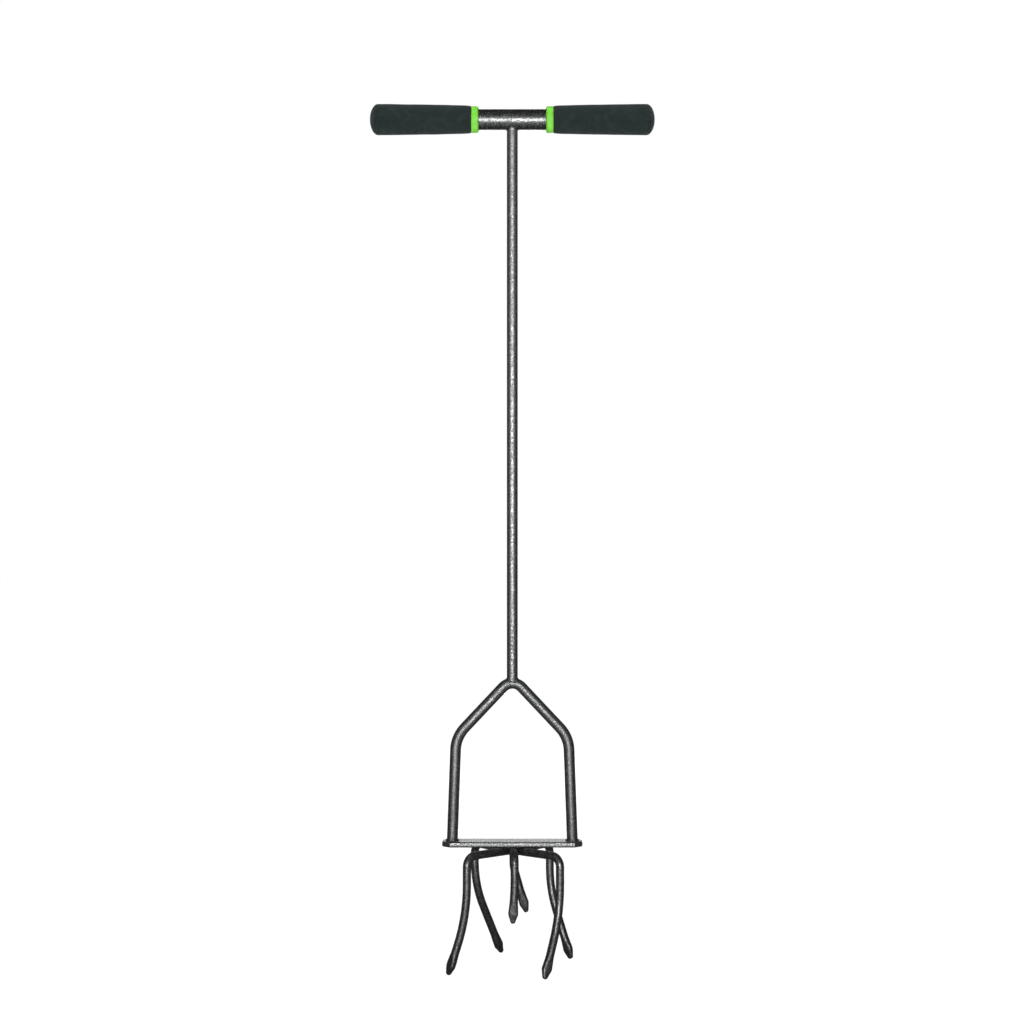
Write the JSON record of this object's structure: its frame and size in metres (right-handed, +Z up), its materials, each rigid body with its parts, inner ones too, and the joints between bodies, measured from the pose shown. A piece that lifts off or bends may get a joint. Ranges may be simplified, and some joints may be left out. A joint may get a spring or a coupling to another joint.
{
  "type": "twist tiller",
  "caption": "Hand twist tiller: T handle with foam grips, round steel shaft, forked yoke on a flat foot plate, and swept, forged-tip tines under it.",
  "frame": {"origin": "on the ground under the shaft's centre line, at the height of the four outer tines' tips", "axes": "+Z up along the shaft; +X along the handle, to the right seen from the front; the front faces -Y"},
  "size_m": [0.3146, 0.1588, 0.9527],
  "materials": {
    "coated_steel": "dark grey powder coat with a silver fleck and a fine hammered texture",
    "green_polymer": "bright green moulded polymer, satin",
    "dark_foam": "soft closed-cell foam, matte, very dark green-grey"
  },
  "bodies": {
    "root": {"crossbar_tube": "coated_steel", "shaft_rod": "coated_steel", "yoke_frame": "coated_steel", "foot_plate": "coated_steel", "tine_front_left": "coated_steel", "tine_front_right": "coated_steel", "tine_back_left": "coated_steel", "tine_back_right": "coated_steel", "tine_centre_front": "coated_steel", "tine_centre_back": "coated_steel", "crossbar_weld": "coated_steel", "apex_weld": "coated_steel", "foot_weld_left": "coated_steel", "foot_weld_right": "coated_steel", "hub_weld_back_right": "coated_steel", "hub_weld_back_left": "coated_steel", "hub_weld_left": "coated_steel", "hub_weld_front_left": "coated_steel", "hub_weld_front_right": "coated_steel", "hub_weld_right": "coated_steel", "grip_core_left": "green_polymer", "grip_core_right": "green_polymer", "grip_cover_left": "dark_foam", "grip_cover_right": "dark_foam"}
  },
  "joints": []
}
